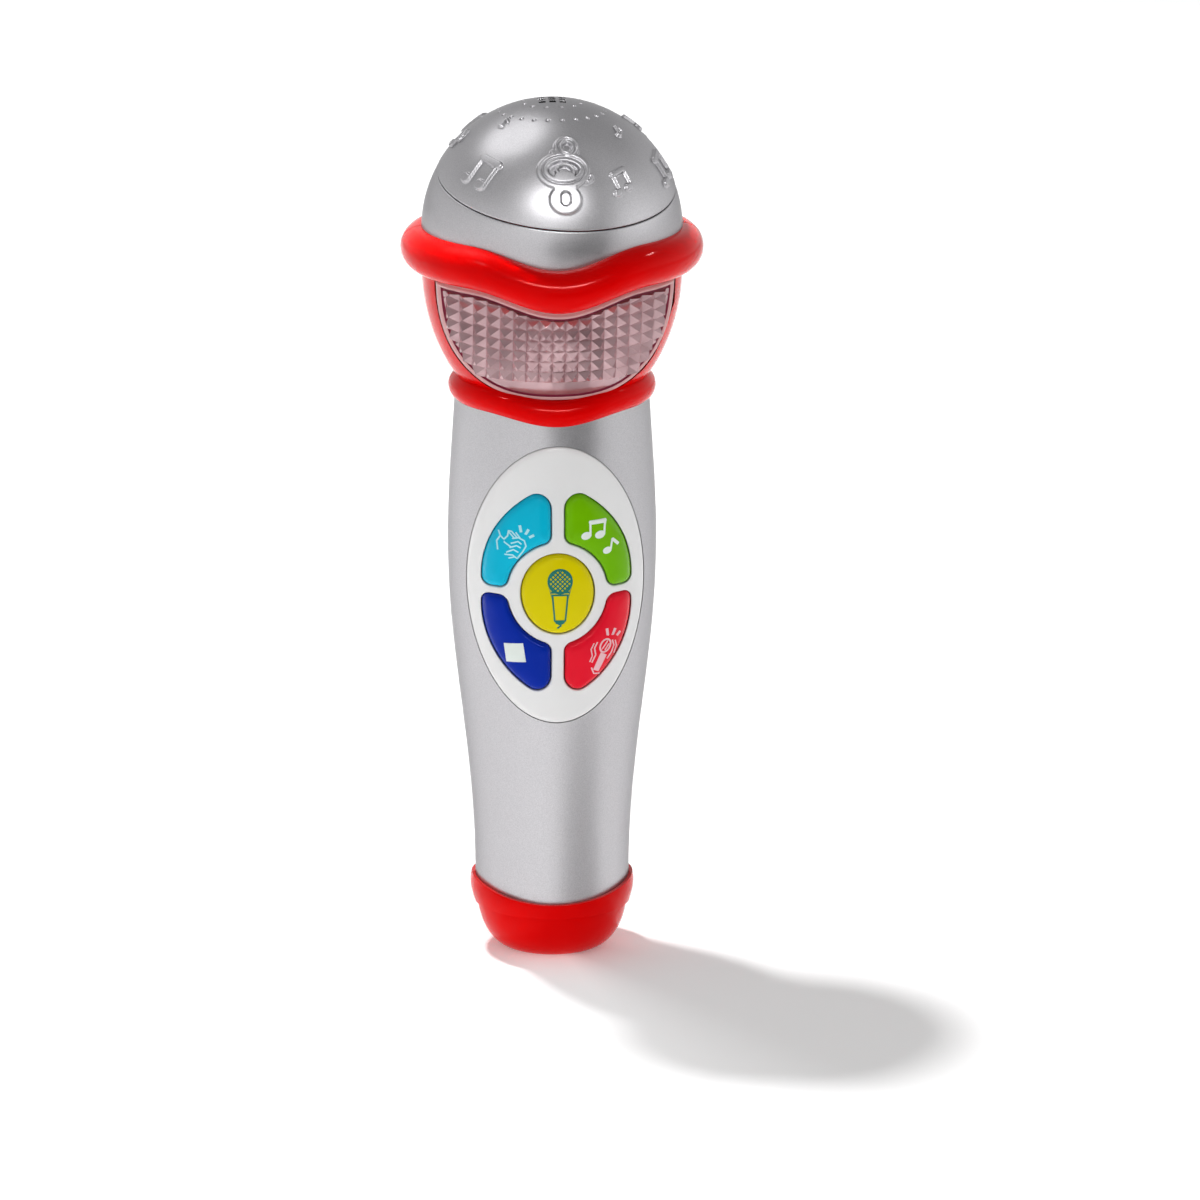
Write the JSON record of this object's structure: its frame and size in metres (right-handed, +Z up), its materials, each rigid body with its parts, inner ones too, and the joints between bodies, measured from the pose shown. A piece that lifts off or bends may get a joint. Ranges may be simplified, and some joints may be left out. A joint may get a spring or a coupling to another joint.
{
  "type": "toy microphone",
  "caption": "Toy microphone with a silver handle and dome, red head casing, clear window and an oval panel of coloured push buttons.",
  "frame": {"origin": "centre of the flat foot, on the surface it stands on", "axes": "+Z up along the handle to the dome, buttons face -Y, +X to the right seen from the front"},
  "size_m": [0.0692, 0.0692, 0.2],
  "materials": {
    "silver_paint": "satin metallic silver paint on ABS",
    "red_plastic": "glossy red ABS",
    "clear_plastic": "clear moulded styrene with small pyramids",
    "white_plastic": "glossy white ABS",
    "yellow_plastic": "glossy yellow ABS with a printed icon",
    "light_blue_plastic": "glossy light blue ABS with a printed icon",
    "green_plastic": "glossy green ABS with a printed icon",
    "dark_blue_plastic": "glossy dark blue ABS with a printed icon",
    "button_red_plastic": "glossy warm red ABS with a printed icon",
    "silicone": "translucent grey silicone rubber",
    "circuit_board": "green solder mask on glass-fibre board",
    "black_parts": "black moulded epoxy and plastic",
    "black_plastic": "black ABS, fine spark texture",
    "steel": "zinc-plated steel",
    "nickel": "nickel-plated spring steel",
    "cell_jacket": "printed plastic cell jacket, plain",
    "ferrite": "sintered ferrite",
    "cone_paper": "black pulp cone with a cloth roll",
    "foam": "closed-cell foam",
    "clear_lamp": "clear epoxy lamp",
    "wire_red": "PVC wire sleeve",
    "wire_black": "PVC wire sleeve"
  },
  "bodies": {
    "housing": {"handle_front": "silver_paint", "handle_back": "silver_paint", "dome_cap": "silver_paint", "dome_band": "silver_paint", "head_front": "red_plastic", "head_back": "red_plastic", "upper_ring_front": "red_plastic", "upper_ring_back": "red_plastic", "collar_ring_front": "red_plastic", "collar_ring_back": "red_plastic", "base_trim_front": "red_plastic", "base_trim_back": "red_plastic", "foot_cap": "red_plastic", "lens": "clear_plastic", "control_panel": "white_plastic", "keypad": "silicone", "main_board": "circuit_board", "lamp_board": "circuit_board", "board_components": "black_parts", "shake_sensor": "nickel", "board_screws": "steel", "case_screws": "steel", "head_screws": "steel", "speaker_screws": "steel", "battery_tray": "black_plastic", "aaa_cells": "cell_jacket", "battery_contacts": "nickel", "battery_springs": "nickel", "power_switch": "steel", "switch_bracket": "black_plastic", "speaker_basket": "steel", "speaker_magnet": "ferrite", "speaker_cone": "cone_paper", "speaker_gasket": "foam", "speaker_bracket": "black_plastic", "lamps": "clear_lamp", "speaker_wires": "wire_red", "lamp_wires": "wire_black", "battery_wires": "wire_red", "switch_wires": "wire_black"},
    "clap_button": {"button_clap": "light_blue_plastic"},
    "music_button": {"button_music": "green_plastic"},
    "sing_button": {"button_sing": "yellow_plastic"},
    "stop_button": {"button_stop": "dark_blue_plastic"},
    "shake_button": {"button_shake": "button_red_plastic"},
    "switch_knob": {"power_slider": "black_plastic"},
    "door": {"battery_door": "silver_paint"},
    "screw": {"door_screw": "steel"}
  },
  "joints": [
    {"name": "sing_press", "type": "slide", "parent": "housing", "child": "sing_button", "axis": [0, 1, 0], "range_m": [0, 0.0008], "stiffness_N_per_m": 1200, "deforming": ["keypad"]},
    {"name": "clap_press", "type": "slide", "parent": "housing", "child": "clap_button", "axis": [0, 1, 0], "range_m": [0, 0.0008], "stiffness_N_per_m": 1200, "deforming": ["keypad"]},
    {"name": "music_press", "type": "slide", "parent": "housing", "child": "music_button", "axis": [0, 1, 0], "range_m": [0, 0.0008], "stiffness_N_per_m": 1200, "deforming": ["keypad"]},
    {"name": "stop_press", "type": "slide", "parent": "housing", "child": "stop_button", "axis": [0, 1, 0], "range_m": [0, 0.0008], "stiffness_N_per_m": 1200, "deforming": ["keypad"]},
    {"name": "shake_press", "type": "slide", "parent": "housing", "child": "shake_button", "axis": [0, 1, 0], "range_m": [0, 0.0008], "stiffness_N_per_m": 1200, "deforming": ["keypad"]},
    {"name": "power_slide", "type": "slide", "parent": "housing", "child": "switch_knob", "axis": [0, 0, 1], "range_m": [0, 0.004]},
    {"name": "door_lift_off", "type": "slide", "parent": "housing", "child": "door", "axis": [0, 1, 0], "range_m": [0, 0.03]},
    {"name": "door_screw_turn", "type": "hinge", "parent": "door", "child": "screw", "pos_m": [0, 0.0184, 0.0769], "axis": [0, 1, 0], "continuous": true}
  ]
}
